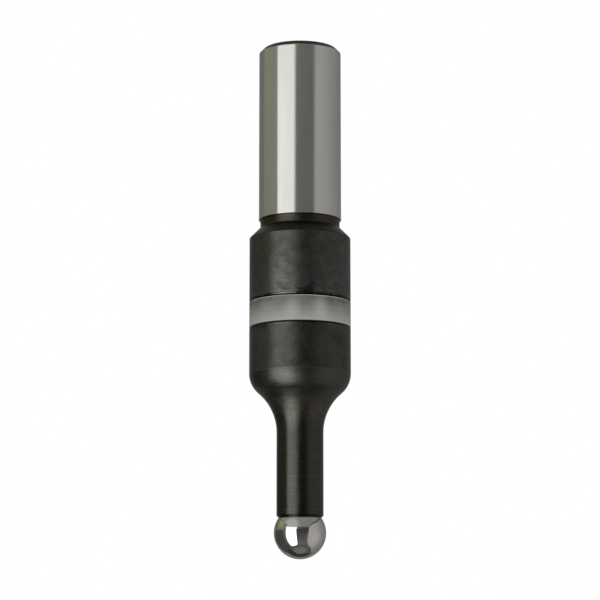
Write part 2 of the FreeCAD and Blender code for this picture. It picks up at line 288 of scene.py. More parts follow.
def shankLook(graph, spot):
    # ground bright between the chamfer and the neck and in the centre hole, black elsewhere
    s = shank
    groundFoot = s["foot"] + s["radius"] - s["neckRadius"]
    ground = spot.zone(groundFoot, s["top"] - s["chamfer"], 0.02) * spot.reach(7.4, 7.5)
    centre = spot.reach(s["centreMouth"], 1.7, 1.0, 0.0) * spot.level(95, 95.2)
    bright = ground.maths("MAXIMUM", centre)
    black, blackRough, blackHeight = oxideLook(graph, spot)

    # the collar shines more than the head, in patches, and is cooler in places
    collar = spot.level(61.9, 62.0, 1.0, 0.0)
    patches = spot.noise(640.0, 5.0, 0.62)
    streaks = spot.noise(500.0, 3.0, 0.6, (1.0, 1.0, 6.0))
    shine = graph.ramp(patches * 0.7 + streaks * 0.3, 0.36, 0.64)
    shine = shine * spot.level(50, 59, 0.85, 0.5)
    black = graph.mix(collar * shine, black, s["shine"])
    cool = graph.ramp(spot.noise(210.0), 0.44, 0.66, 0.0, 0.4)
    black = graph.mix(collar * cool, black, s["cool"])

    # painted shade darkens the cone above; the neck and the land under the shank are browner
    black = graph.mix(spot.zone(*s["cone"]) * 0.75, black, s["coneColor"])
    # painted light and shade in broad patches
    black = patina(graph, spot, black, s["patina"])
    neck, land = spot.zone(*s["neck"]), spot.zone(*s["land"])
    black = graph.mix(neck * 0.7, black, s["neckColor"])
    stain = graph.ramp(spot.noise(330.0), 0.40, 0.62)
    black = graph.mix(land * 0.75, black, graph.mix(stain, *s["landColors"]))
    blackRough = blackRough - neck * 0.07 + land * 0.05 - collar * (patches - 0.5) * 0.16

    # its lower edge has dirt, painted shade in the seam and painted highlights on two lines
    dirt = smudges(graph, spot, s["dirt"], s["collarFoot"] + 0.2, 1)
    black = graph.mix(dirt * 0.85, black, oxide["dirt"])
    black = graph.mix(spot.zone(*s["seam"]) * 0.92, black, oxide["gap"])
    # painted highlights along two lines of the collar's edge, broken by noise
    rubbed = spot.zone(*s["rubbed"]).maths("MAXIMUM", spot.zone(*s["rubbedAbove"]) * 0.6)
    worn = spot.noise(160.0, 2.0, stretch=(1.0, 1.0, 0.2))
    rubbed = rubbed * graph.ramp(worn, 0.46, 0.56) * spot.reach(9.6, 9.64) * (1 - dirt)
    black = graph.mix(rubbed * 0.8, black, oxide["worn"])

    haze = spot.noise(260.0, stretch=(1.0, 1.0, 0.12))
    steel = graph.mix(graph.ramp(haze, 0.3, 0.7), s["steelDark"], s["steelLight"])
    lines = graph.lines(spot.z, s["grinding"])
    steelRough = s["steelRoughness"] + lines * 0.03 + haze * 0.02
    color = graph.mix(bright, black, steel)
    roughness = blackRough + bright * (steelRough - blackRough)
    height = blackHeight + bright * (lines * s["grindingHeight"] - blackHeight)
    metal = oxide["metallic"] + neck * (1 - oxide["metallic"])
    metal = metal + bright * (s["steelMetallic"] - metal)
    return {"Base Color": color, "Roughness": roughness, "Metallic": metal,
            "Normal": graph.bump(height, oxide["height"])}


head = {
    "radius": 9.8, "top": 44.5066, "rim": 0.15, "socket": 7.0, "floor": 40.3066,
    "round": 4.9, "flank": 0.77, "fillet": 10.0, "roundLevel": 35.6566,
    "stemRadius": 4.5, "stemTop": 24.2355, "nose": 7.9355, "noseChamfer": 0.35,
    "mouth": 4.09, "bore": 2.6, "boreFoot": 9.7113,
    "slot": (3.75, 0.77, 2.1),  # half its straight length, half its width, depth
    "slotRuns": 12, "filletRuns": 28, "roundRuns": 24, "segments": 256,
    "roundColor": (0.107, 0.112, 0.101, 1.0), "scoredColor": (0.19, 0.19, 0.17, 1.0),
    "stemColor": (0.073, 0.077, 0.065, 1.0), "markColor": (0.14, 0.14, 0.125, 1.0),
    "filletColor": (0.105, 0.094, 0.078, 1.0), "seatColor": grey(0.2),
    "toolMarks": 2400.0,
    "finer": (30.5, 35.5, 0.08), "scored": (35.44, 35.56, 0.04), "satin": (24.5, 35.5, 1.2),
    # the groove under the window ring gets painted shade, and the head's top edge a painted
    # highlight
    "brownFillet": (28.2, 31.5, 1.0), "groove": (44.25, 44.6, 0.04),
    "rubbed": (44.02, 44.16, 0.04),
    # patina of painted light and shade, and dirt, are given as the shank's are,
    # with the dirt below the window ring
    "patina": [(200, 238, 0.5, "thin"), (286, 310, 0.26, "thick")],
    "dirt": [(192, 232, 1.4, 0.8), (240, 262, 0.5, 0.6), (262, 300, 0.9, 0.75),
             (300, 345, 0.5, 0.6), (30, 75, 1.2, 0.8), (110, 140, 0.7, 0.7)],
}


def headLook(graph, spot):
    # below a scored line the big round is turned finer and shines more, and the stem too,
    # where the tool marks can be seen. It is mottled between those marks and the line.
    h = head
    color, roughness, height = oxideLook(graph, spot)
    finer = spot.zone(*h["finer"])
    color = graph.mix(finer * 0.7, color, h["roundColor"])
    color = graph.mix(spot.zone(*h["scored"]) * 0.5, color, h["scoredColor"])
    stem = spot.level(24, 33, 1.0, 0.0)
    color = graph.mix(stem * 0.6, color, h["stemColor"])
    satin = spot.zone(*h["satin"])
    mottle = graph.ramp(spot.noise(1500.0, 4.0, 0.65), 0.44, 0.66)
    color = graph.mix(satin * mottle * 0.3, color, oxide["thin"])
    roughness = roughness - stem * 0.135 - finer * 0.03 + satin * 0.05
    marks = graph.lines(spot.z + spot.radius * 0.5, h["toolMarks"], 1.0)
    height = height + (finer * 0.5 + stem * 0.5) * marks
    shown = graph.ramp(marks, 0.54, 0.72) * spot.level(18, 26, 0.32, 0.0)
    color = graph.mix(shown, color, h["markColor"])
    # painted light and shade in broad patches
    color = patina(graph, spot, color, h["patina"])
    color = graph.mix(spot.zone(*h["brownFillet"]) * 0.45, color, h["filletColor"])
    color = graph.mix(spot.reach(4.16, 4.2, 1.0, 0.0) * 0.5, color, h["seatColor"])

    # painted shade in the groove under the window ring and round the nose, dirt that spread
    # down from the ring, and a painted highlight on the top edge
    color = graph.mix(spot.zone(*h["groove"]) * 0.92, color, oxide["gap"])
    # a painted highlight along the head's top edge
    edge = spot.zone(*h["rubbed"]) * graph.ramp(spot.noise(400.0), 0.4, 0.6)
    color = graph.mix(edge * 0.3, color, oxide["worn"])
    dirt = smudges(graph, spot, h["dirt"], 44.4, -1)
    color = graph.mix(dirt * 0.75, color, oxide["dirt"])
    # painted shade round the nose, in dirt's colour
    color = graph.mix(spot.level(8.05, 8.5, 1.0, 0.0) * 0.75, color, oxide["dirt"])
    metal = oxide["metallic"] + stem.maths("MAXIMUM", finer) * (1 - oxide["metallic"])
    return {"Base Color": color, "Roughness": roughness, "Metallic": metal,
            "Normal": graph.bump(height, oxide["height"])}


window = {
    "radius": 9.8, "top": 49.5066, "foot": 44.5066, "rimSize": 0.15,
    "lowerSpigot": 6.99, "spigotFoot": 40.4566, "bore": 4.8,
    "upperSpigot": 6.19, "spigotTop": 55.3066, "entry": 5.6, "ledge": 48.6066,
    "segments": 256,
    # painted shade at the top and painted light at the foot:
    "upperShade": (0.036, 0.038, 0.029, 1.0), "lowerShade": (0.282, 0.277, 0.254, 1.0),
    # painted highlight bands and faint clouds, and a painted highlight on the rim:
    "glow": (0.31, 0.306, 0.285, 1.0), "rim": (0.44, 0.44, 0.41, 1.0),
    "faces": (0.30, 0.297, 0.275, 1.0),
    # degrees: the middle of a pair of painted highlight bands, each band's offset from it,
    # their half width
    "lampAngle": -82.5, "glowAngle": 16.3, "glowReach": 13.5,
}


def windowLook(graph, spot):
    # frosted plastic: painted light at the foot and painted shade upwards, and pairs of soft
    # upright painted highlight bands
    w = window
    climb = graph.linear(spot.z, w["foot"] * mm, w["top"] * mm)
    cloud = spot.noise(320.0)
    fine = spot.noise(6000.0, 2.0)
    color = graph.mix(climb, w["lowerShade"], w["upperShade"])
    share = 360.0 / lamps["count"]
    fromBandMiddle = (spot.angle * degrees(1) - w["lampAngle"] + 3.5 * share) % share - share / 2
    # painted highlight bands, one pair in each third of the ring, fading upwards
    paintedBands = graph.ramp(abs(abs(fromBandMiddle) - w["glowAngle"]), 0.0, w["glowReach"], 1.0, 0.0)
    paintedBands = paintedBands * graph.ramp(climb, 0.3, 1.0, 0.85, 0.24)
    color = graph.mix(paintedBands * 0.75, color, w["glow"])
    drawn = graph.lines(spot.z, 2600.0)
    faint = graph.ramp(cloud * 0.6 + drawn * 0.4, 0.38, 0.66, 0.0, 0.22)
    color = graph.mix(faint, color, w["glow"])

    # a painted highlight on the rim, painted shade in the grooves above and below it, and the
    # plain end faces
    # a painted highlight along the top rim
    edge = spot.zone(w["top"] - 0.20, w["top"] - 0.06, 0.03)
    color = graph.mix(edge * 0.8, color, w["rim"])
    # painted shade in the grooves above and below the ring, in dirt's colour
    groove = spot.level(w["top"] - 0.06, w["top"] - 0.02).maths(
        "MAXIMUM", spot.level(w["foot"] + 0.06, w["foot"] + 0.13, 1.0, 0.0))
    color = graph.mix(groove * spot.reach(9.5, 9.6) * 0.94, color, oxide["dirt"])
    color = graph.mix(spot.reach(9.45, 9.6, 1.0, 0.0), color, w["faces"])
    lines = graph.lines(spot.z, 6000.0)
    return {"Base Color": color, "Roughness": 0.36 + cloud * 0.08 + fine * 0.05,
            "Normal": graph.bump(lines * 0.5 + fine * 0.5, 0.005 * mm)}


def ballLook(graph, spot):
    haze = spot.noise(700.0)
    scratch = spot.noise(2400.0, 2.0, stretch=(1.0, 6.0, 0.4))
    marks = graph.ramp(scratch, 0.66, 0.74)
    return {"Base Color": graph.mix(graph.ramp(haze, 0.3, 0.7), grey(0.74, 0.01),
                                    grey(0.80, 0.01)),
            "Roughness": 0.035 + haze * 0.02 + marks * 0.05,
            "Normal": graph.bump(haze, 0.002 * mm)}


def plainLook(scale, detail, tones, gloss, depth, stretch=None, stops=None):
    # the same all over: noise moves the colour between two tones, and the roughness up from
    # its least. Depth is in mm.
    def look(graph, spot):
        grain = spot.noise(scale, detail, stretch=stretch)
        share = graph.ramp(grain, *stops) if stops else grain
        least, more = gloss
        return {"Base Color": graph.mix(share, *tones), "Roughness": least + grain * more,
                "Normal": graph.bump(grain, depth * mm)}

    return look


def brassLook(graph, spot):
    lines = graph.lines(spot.radius + spot.z, 7000.0)
    cloud = spot.noise(500.0)
    return {"Base Color": graph.mix(cloud, (0.70, 0.50, 0.22, 1.0), (0.84, 0.66, 0.33, 1.0)),
            "Roughness": 0.2 + cloud * 0.12,
            "Normal": graph.bump(lines, 0.004 * mm)}


def nickelLook(graph, spot):
    lines = graph.lines(spot.z, 9000.0)
    cloud = spot.noise(600.0)
    return {"Base Color": graph.mix(cloud, (0.58, 0.54, 0.44, 1.0), (0.70, 0.67, 0.58, 1.0)),
            "Roughness": 0.24 + cloud * 0.10,
            "Normal": graph.bump(lines * 0.4 + cloud * 0.6, 0.002 * mm)}


def boardLook(graph, spot):
    # green laminate with copper tracks in rings and spokes, woven glass under the lacquer
    rings = graph.band((spot.radius / (1.3 * mm)) % 1.0, 0.1, 0.32, 0.03)
    spokes = graph.band((spot.angle / (pi / 6) + 12.0) % 1.0, 0.42, 0.58, 0.03)
    gate = graph.ramp(spot.noise(260.0, 1.0), 0.47, 0.5)
    tracks = (rings * gate).maths("MAXIMUM", spokes * (1 - gate))
    threads = 9000.0          # radians per metre
    weave = ((spot.x * threads).maths("SINE") * (spot.y * threads).maths("SINE") + 1.0) * 0.5
    lacquer = graph.mix(weave, (0.022, 0.13, 0.06, 1.0), (0.03, 0.16, 0.075, 1.0))
    return {"Base Color": graph.mix(tracks, lacquer, (0.09, 0.27, 0.10, 1.0)),
            "Roughness": 0.3 + weave * 0.12,
            "Normal": graph.bump(tracks + weave * 0.2, 0.02 * mm)}


lamps = {"count": 3, "circle": 3.5, "foot": 48.5966, "base": (1.6, 2.0, 0.4),
         "lens": (0.65, 0.5),  # lens radius and height
         "lensTop": (48.14, 48.20), "bevel": 0.08, "sides": 20, "rings": 6}


def lampLook(graph, spot):
    # a white base, and below it the clear red lens
    lens = spot.level(*lamps["lensTop"], 1.0, 0.0)
    cloud = spot.noise(2500.0, 2.0)
    red = graph.mix(cloud, (0.55, 0.035, 0.02, 1.0), (0.68, 0.06, 0.03, 1.0))
    return {"Base Color": graph.mix(lens, grey(0.75, 0.03), red),
            "Roughness": 0.4 - lens * 0.28 + cloud * 0.05}


def resistorLook(graph, spot):
    # a black body with bright caps. It lies across the radius that is at 60 degrees.
    along = abs(spot.x * -0.866 + spot.y * 0.5)
    cap = graph.ramp(along, 0.72 * mm, 0.78 * mm)
    grain = spot.noise(6000.0)
    return {"Base Color": graph.mix(cap, grey(0.03), grey(0.6, 0.02)),
            "Metallic": cap, "Roughness": 0.35 + grain * 0.2,
            "Normal": graph.bump(grain, 0.008 * mm)}


cell = {"radius": 5.15, "foot": 50.2266, "top": 78.7266, "button": 2.2, "buttonHeight": 1.5,
        "dish": 4.35, "dishDepth": 0.2, "segments": 96, "band": (52.2, 58, 0.03)}


def batteryLook(graph, spot):
    # plain wrapped can: a dark band at the button end, bare metal at both ends
    jacket = graph.band(spot.radius, 4.9 * mm, 6 * mm, 0.05 * mm)
    band = spot.zone(*cell["band"])
    cloud = spot.noise(900.0, stretch=(1.0, 1.0, 0.2))
    wrap = graph.mix(band, (0.60, 0.46, 0.17, 1.0), grey(0.035))
    return {"Base Color": graph.mix(jacket, grey(0.6, 0.01), wrap),
            "Metallic": 1 - jacket * 0.4, "Roughness": 0.25 + cloud * 0.15,
            "Normal": graph.bump(cloud, 0.01 * mm)}


wireLook = plainLook(3000.0, 3.0, (grey(0.42, 0.02), grey(0.6, 0.02)), (0.22, 0.15), 0.004,
                     stretch=(1.0, 1.0, 0.3))
rubberLook = plainLook(2500.0, 4.0, (grey(0.018), grey(0.045)), (0.55, 0.2), 0.01,
                       stops=(0.4, 0.75))
mouldedLook = plainLook(5000.0, 2.0, (grey(0.72, 0.03), grey(0.8, 0.03)), (0.45, 0.15),
                        0.006)

finish = {
    "shank": material("groundAndBlackSteel", shankLook),
    "head": material("blackenedSteel", headLook),
    "window": material("frostedPlastic", windowLook, IOR=1.49),
    "ball": material("polishedSteel", ballLook, Metallic=1.0),
    "wire": material("springWire", wireLook, Metallic=1.0),
    "brass": material("contactBrass", brassLook, Metallic=1.0),
    "nickel": material("nickelledBrass", nickelLook, Metallic=1.0),
    "rubber": material("sealRubber", rubberLook),
    "moulded": material("mouldedPlastic", mouldedLook),
    "board": material("boardLaminate", boardLook),
    "lamp": material("lampLens", lampLook),
    "resistor": material("resistorCeramic", resistorLook),
    "battery": material("batteryJacket", batteryLook),
}
print("materials:", len(finish))


def newObject(name, data):
    made = bpy.data.objects.new(name, data)
    bpy.context.scene.collection.objects.link(made)
    return made


def newPiece(name, mesh, coat):
    mesh.materials.clear()
    mesh.materials.append(coat)
    return newObject(name, mesh)


def rounded(corners, steps=4, support=0.06):
    # an outline in mm from its corners (radius, height, round). Short runs beside each
    # round keep flat faces flat when they are shaded smooth.
    outline = []
    last = len(corners) - 1
    for index, (r, z, size) in enumerate(corners):
        here = Vector((r, z))
        before = Vector(corners[index - 1][:2]) - here
        after = Vector(corners[(index + 1) % len(corners)][:2]) - here
        if size == 0 or (r == 0 and index in (0, last)):
            outline.append((r, z))
            continue
        reach = min(size, before.length * 0.45, after.length * 0.45)
        a, b = here + before.normalized() * reach, here + after.normalized() * reach
        if before.length > 4 * reach + 2 * support:
            outline.append(tuple(a + before.normalized() * support))
        for step in range(steps + 1):
            t = step / steps
            outline.append(tuple(a * (1 - t) ** 2 + here * (2 * t * (1 - t)) + b * t ** 2))
        if after.length > 4 * reach + 2 * support:
            outline.append(tuple(b + after.normalized() * support))
    return outline


def arc(centre, radius, first, last, steps):
    angles = [radians(first + (last - first) * n / steps) for n in range(steps + 1)]
    return [(centre[0] + radius * cos(a), centre[1] + radius * sin(a)) for a in angles]


def ringOf(shape, radius, level, sides):
    # corners round the axis, or one on it. Both sizes are in mm.
    if radius < 1e-6:
        return [shape.verts.new((0, 0, level * mm))]
    return [shape.verts.new((radius * cos(2 * pi * n / sides) * mm,
                             radius * sin(2 * pi * n / sides) * mm, level * mm))
            for n in range(sides)]


def skin(shape, pairs, sides):
    # faces between the two rings of each pair
    for a, b in pairs:
        for n in range(sides):
            m = (n + 1) % sides
            corners = [a[n % len(a)], a[m % len(a)], b[m % len(b)], b[n % len(b)]]
            face = list(dict.fromkeys(corners))
            if len(face) > 2:
                shape.faces.new(face)


def meshFrom(shape, name, sharp=None):
    # turns its faces outwards and, given an angle, shades it smooth up to that angle
    bmesh.ops.recalc_face_normals(shape, faces=shape.faces)
    mesh = bpy.data.meshes.new(name)
    shape.to_mesh(mesh)
    shape.free()
    if sharp:
        mesh.shade_smooth()
        mesh.set_sharp_from_angle(angle=radians(sharp))
    return mesh


def latheMesh(name, outline, segments, closed, sharp):
    # turns an outline in mm about Z. It either closes on itself or ends on the axis.
    shape = bmesh.new()
    rings = [ringOf(shape, r, z, segments) for r, z in outline]
    pairs = list(zip(rings, rings[1:])) + ([(rings[-1], rings[0])] if closed else [])
    skin(shape, pairs, segments)
    return meshFrom(shape, name, sharp)


def turned(name, outline, settings, coat, closed=True, sharp=32):
    # a piece on the axis
    mesh = latheMesh(name, outline, settings["segments"], closed, sharp)
    return newPiece(name, mesh, finish[coat])


def settledMesh(piece):
    # what a piece's modifiers make of it
    bpy.context.view_layer.update()
    settled = piece.evaluated_get(bpy.context.evaluated_depsgraph_get())
    return bpy.data.meshes.new_from_object(settled)


def geometryTree(name, inputs):
    # a tree with named inputs. Gives its graph, and a function that closes it
    tree = bpy.data.node_groups.new(name, "GeometryNodeTree")
    graph = Graph(tree)
    tree.interface.new_socket("Geometry", in_out="INPUT", socket_type="NodeSocketGeometry")
    for label, kind in inputs.items():
        tree.interface.new_socket(label, in_out="INPUT", socket_type="NodeSocket" + kind)
    tree.interface.new_socket("Geometry", in_out="OUTPUT", socket_type="NodeSocketGeometry")
    start = graph.add("NodeGroupInput")

    def finishWith(geometry):
        real = graph.add("GeometryNodeRealizeInstances", {}, {"Geometry": geometry})
        coated = graph.add("GeometryNodeSetMaterial", {}, {"Geometry": real,
                                                           "Material": start.out("Finish")})
        graph.add("NodeGroupOutput", {}, {"Geometry": coated})
        return tree

    return graph, start, finishWith


def grown(name, source, tree, coat, **inputs):
    # runs a tree on an object and makes a piece of the result
    modifier = source.modifiers.new("grow", "NODES")
    modifier.node_group = tree
    inputs["Finish"] = coat
    for item in tree.interface.items_tree:
        key = item.name.replace(" ", "")
        if item.in_out == "INPUT" and key in inputs:
            modifier[item.identifier] = inputs[key]
    mesh = settledMesh(source)
    source.modifiers.remove(modifier)
    bpy.data.objects.remove(source)
    return newPiece(name, mesh, coat)


def wireTree():
    # a round wire along the object's curve
    graph, start, finishWith = geometryTree(
        "sweptWire", {"Wire Radius": "Float", "Sides": "Int", "Finish": "Material"})
    section = graph.add("GeometryNodeCurvePrimitiveCircle", {},
                        {"Resolution": start.out("Sides"), "Radius": start.out("Wire Radius")})
    wire = graph.add("GeometryNodeCurveToMesh", {}, {"Curve": start.out("Geometry"),
                                                     "Profile Curve": section,
                                                     "Fill Caps": True})
    return finishWith(graph.add("GeometryNodeSetShadeSmooth", {}, {"Geometry": wire}))


def roundTree():
    # copies of the object's mesh round the axis
    graph, start, finishWith = geometryTree(
        "roundTheAxis", {"Count": "Int", "Finish": "Material"})
    points = graph.add("GeometryNodePoints", {}, {"Count": start.out("Count")})
    turn = graph.add("GeometryNodeInputIndex") * (2 * pi) / start.out("Count")
    rotation = graph.add("ShaderNodeCombineXYZ", {}, {"Z": turn})
    copies = graph.add("GeometryNodeInstanceOnPoints", {},
                       {"Points": points, "Instance": start.out("Geometry"),
                        "Rotation": rotation})
    return finishWith(copies)


def threadTree():
    # cuts a right-hand thread into the wall that lies at the outer radius
    graph, start, finishWith = geometryTree(
        "screwThread", {"Outer Radius": "Float", "Pitch": "Float", "Depth": "Float",
                        "Foot": "Float", "Top": "Float", "Finish": "Material"})
    foot, top, pitch = (start.out(name) for name in ("Foot", "Top", "Pitch"))
    x, y, z = graph.split(graph.add("GeometryNodeInputPosition"))
    radius = (x * x + y * y).maths("SQRT")
    turns = y.maths("ARCTAN2", x) / (2 * pi)
    phase = ((z - foot) / pitch - turns + 8.0) % 1.0
    flank = graph.ramp(abs(phase - 0.5), 0.01, 0.5)
    ends = (graph.ramp(z, foot, foot + pitch)
            * graph.ramp(z, top - pitch * 0.5, top, 1.0, 0.0))
    outside = radius.maths("GREATER_THAN", start.out("Outer Radius") - 0.02 * mm)
    depth = flank * ends * outside * start.out("Depth")
    outward = graph.add("ShaderNodeCombineXYZ", {}, {"X": x / radius, "Y": y / radius})
    cut = graph.add("GeometryNodeSetPosition", {}, {
        "Geometry": start.out("Geometry"), "Offset": graph.scaled(outward, depth * -1.0)})
    return finishWith(cut)


trees = {"wire": wireTree(), "round": roundTree(), "thread": threadTree()}
print("trees:", ", ".join(trees))


# the shank and collar, one turned piece
s = shank
slope = tan(radians(s["centreAngle"] / 2))
shankOutline = rounded([
    (0, s["top"] - s["centreDepth"] - s["centrePilot"] * slope, 0),
    (s["centrePilot"], s["top"] - s["centreDepth"], 0.04),
    (s["centrePilot"], s["top"] - (s["centreMouth"] - s["centrePilot"]) / slope, 0.04),
    (s["centreMouth"], s["top"], 0.04),
    (s["radius"] - s["chamfer"], s["top"], 0.12),
    (s["radius"], s["top"] - s["chamfer"], 0.08),
    (s["radius"], s["foot"] + s["radius"] - s["neckRadius"], s["edge"]),
    (s["neckRadius"], s["foot"], 0.1),
    (s["neckRadius"], s["neckFoot"], 0.14),
    (s["collarRadius"], s["collarTop"], 0.12),
    (s["collarRadius"], s["collarFoot"] + s["rim"], 0.09),
    (s["collarRadius"] - s["rim"], s["collarFoot"], s["edge"]),
    (s["recessRadius"], s["collarFoot"], s["edge"]),
    (s["recessRadius"], s["recessTop"], s["edge"]),
    (s["threadRadius"], s["recessTop"], s["edge"]),
    (s["threadRadius"], s["threadEnd"], s["edge"]),
    (s["boreRadius"], s["threadEnd"], s["edge"]),
    (s["boreRadius"], s["boreEnd"], 0.1),
    (0, s["boreEnd"], 0),
])
shankPiece = turned("shankAndCollar", shankOutline, s, "shank", False)

# the window ring
w = window
windowOutline = rounded([
    (w["bore"], w["spigotFoot"], 0.05), (w["lowerSpigot"], w["spigotFoot"], 0.1),
    (w["lowerSpigot"], w["foot"], 0.03), (w["radius"] - w["rimSize"], w["foot"], 0.04),
    (w["radius"], w["foot"] + w["rimSize"], 0.04), (w["radius"], w["top"] - w["rimSize"], 0.04),
    (w["radius"] - w["rimSize"], w["top"], 0.04), (w["upperSpigot"], w["top"], 0.03),
    (w["upperSpigot"], w["spigotTop"], 0.05), (w["entry"], w["spigotTop"], 0.1),
    (w["entry"], w["ledge"], 0.03), (w["bore"], w["ledge"], 0.05),
])
windowPiece = turned("windowRing", windowOutline, w, "window")

# head and stem: the round, the flank and the fillet turn through one angle
h = head
turnRadii = h["round"] + h["fillet"]
turnAngle = degrees(acos((turnRadii - h["radius"] + h["stemRadius"])
                         / hypot(turnRadii, h["flank"])) - atan2(h["flank"], turnRadii))
nose = h["nose"]
headOutline = rounded([
    (h["bore"], h["floor"], 0.05), (h["bore"], h["boreFoot"], 0.05),
    (h["mouth"], nose, 0.03), (h["stemRadius"] - h["noseChamfer"], nose, 0.03),
    (h["stemRadius"], nose + h["noseChamfer"], 0.06), (h["stemRadius"], h["stemTop"] - 1, 0),
])
headOutline += arc((h["stemRadius"] + h["fillet"], h["stemTop"]), h["fillet"],
                   180, 180 - turnAngle, h["filletRuns"])
headOutline += arc((h["radius"] - h["round"], h["roundLevel"]), h["round"],
                   -turnAngle, 0, h["roundRuns"])
headOutline += rounded([
    (h["radius"], h["roundLevel"] + 1, 0), (h["radius"], h["top"] - h["rim"], 0.04),
    (h["radius"] - h["rim"], h["top"], 0.04), (h["socket"], h["top"], 0.05),
    (h["socket"], h["floor"], 0.05), (h["bore"] + 0.3, h["floor"], 0),
])
headPiece = turned("headAndStem", headOutline, h, "head")
print("turned pieces:", len(headPiece.data.polygons), "faces on the head and stem")


def slotCutter():
    # a bar with round ends, for the anchor pin's slot
    half, width, depth = (value * mm for value in head["slot"])
    shape = bmesh.new()
    around = [corner for side, first in ((1, -90), (-1, 90)) for corner in
              arc((half * side, 0), width, first, first + 180, head["slotRuns"])]
    level = head["floor"] * mm
    low, high = ([shape.verts.new((x, y, z)) for x, y in around]
                 for z in (level - depth, level + 0.5 * mm))
    shape.faces.new(low)
    shape.faces.new(high)
    skin(shape, [(low, high)], len(around))
    return newPiece("slotCutter", meshFrom(shape, "slotCutter"), finish["head"])


cutter = slotCutter()
milling = headPiece.modifiers.new("slot", "BOOLEAN")
milling.operation, milling.object, milling.solver = "DIFFERENCE", cutter, "EXACT"
milled = settledMesh(headPiece)
headPiece.modifiers.remove(milling)
headPiece.data = milled
bpy.data.objects.remove(cutter)
print("anchor slot:", len(milled.polygons), "faces after it")

# the ball, with the hole for its stud
ball = {"radius": 5.0, "hole": 1.21, "holeFoot": 4.58, "rings": 88, "segments": 192}
openAngle = degrees(acos(ball["hole"] / ball["radius"]))
ballOutline = arc((0, ball["radius"]), ball["radius"], -90, openAngle, ball["rings"])
ballOutline[0] = (0, 0)
ballOutline += [(ball["hole"], ballOutline[-1][1] - 0.05), (ball["hole"], ball["holeFoot"]),
                (0, ball["holeFoot"])]
ballPiece = turned("measuringBall", ballOutline, ball, "ball", False)

# the sleeve, with fine rows on its outer wall for the thread
sleeve = {"bore": 6.2, "radius": 6.95, "foot": 49.5066, "top": 55.3066, "chamfer": 0.35,
          "pitch": 1.0, "depth": 0.5, "runIn": 0.6, "runOut": 0.3, "row": 0.033,
          "segments": 192}
v = sleeve
rows = round((v["top"] - v["chamfer"] - v["foot"]) / v["row"])
sleeveOutline = [(v["radius"], v["foot"] + n * v["row"]) for n in range(rows + 1)]
sleeveOutline += [(v["radius"] - v["chamfer"], v["top"]), (v["bore"], v["top"]),
                  (v["bore"], v["foot"])]
sleevePiece = grown(
    "threadedSleeve", turned("threadBlank", sleeveOutline, v, "nickel"), trees["thread"],
    finish["nickel"], OuterRadius=v["radius"] * mm, Pitch=v["pitch"] * mm,
    Depth=v["depth"] * mm, Foot=(v["foot"] + v["runIn"]) * mm,
    Top=(v["top"] - v["chamfer"] + v["runOut"]) * mm)

# the seal
seal = {"circle": 7.42, "level": 49.9666, "radius": 0.445, "sides": 24, "segments": 160}
sealOutline = arc((seal["circle"], seal["level"]), seal["radius"], 0,
                  360 - 360 / seal["sides"], seal["sides"] - 1)
sealPiece = turned("sealRing", sealOutline, seal, "rubber", sharp=180)

# the cell, wrapped in a plain jacket
c = cell
cellOutline = rounded([
    (0, c["foot"], 0), (c["button"], c["foot"], 0.2),
    (c["button"], c["foot"] + c["buttonHeight"], 0.1),
    (c["radius"], c["foot"] + c["buttonHeight"], 0.4), (c["radius"], c["top"], 0.4),
    (c["dish"], c["top"], 0.05),
    (c["dish"] - c["dishDepth"], c["top"] - c["dishDepth"], 0.05),
    (0, c["top"] - c["dishDepth"], 0),
])
cellPiece = turned("cell", cellOutline, c, "battery", False)
print("ball, sleeve, seal and cell: done")


def helix(level, radius, first, last, rise, lastRadius=None, perTurn=40):
    # points in mm round the axis, from one direction to another in degrees
    runs = max(2, round(abs(last - first) * perTurn / 360))
    grow = 0.0 if lastRadius is None else lastRadius - radius
    points = []
    for n in range(runs + 1):
        t = n / runs
        a, reach = radians(first + t * (last - first)), radius + t * grow
        points.append((reach * cos(a), reach * sin(a), level + t * rise))
    return points


def wirePiece(name, points, wire, sides=14):
    # a wire of that diameter in mm along the points
    path = bpy.data.curves.new(name, "CURVE")
    path.dimensions = "3D"
    line = path.splines.new("POLY")
    line.points.add(len(points) - 1)
    for target, point in zip(line.points, points):
        target.co = tuple(value * mm for value in point) + (1.0,)
    return grown(name, newObject(name, path), trees["wire"], finish["wire"],
                 WireRadius=wire * mm / 2, Sides=sides)


springs = {
    "cell": {"wire": 0.6, "radii": (2.5, 4.4), "turns": 4, "foot": 78.7266, "top": 84.2266},
    "contact": {"wire": 0.4, "radii": (3.4, 1.5), "turns": 4, "foot": 40.3066,
                "top": 48.6066},
    "pull": {"wire": 0.5, "radius": 1.9, "turns": 11, "length": 10.5, "bend": 0.5,
             "leg": 0.6, "tail": 0.8, "hookTop": 39.7466, "eye": 12.3, "eyeRadius": 0.55,
             "play": 0.1, "hookRuns": 24, "bendRuns": 8},
}


def coneSpring(name, spring):
    clear = spring["wire"] / 2 + 0.02  # its end turns just miss what they press on
    first, last = spring["radii"]
    rise = spring["top"] - spring["foot"] - 2 * clear
    return wirePiece(name, helix(spring["foot"] + clear, first, 0, 360 * spring["turns"],
                                 rise, last), spring["wire"])


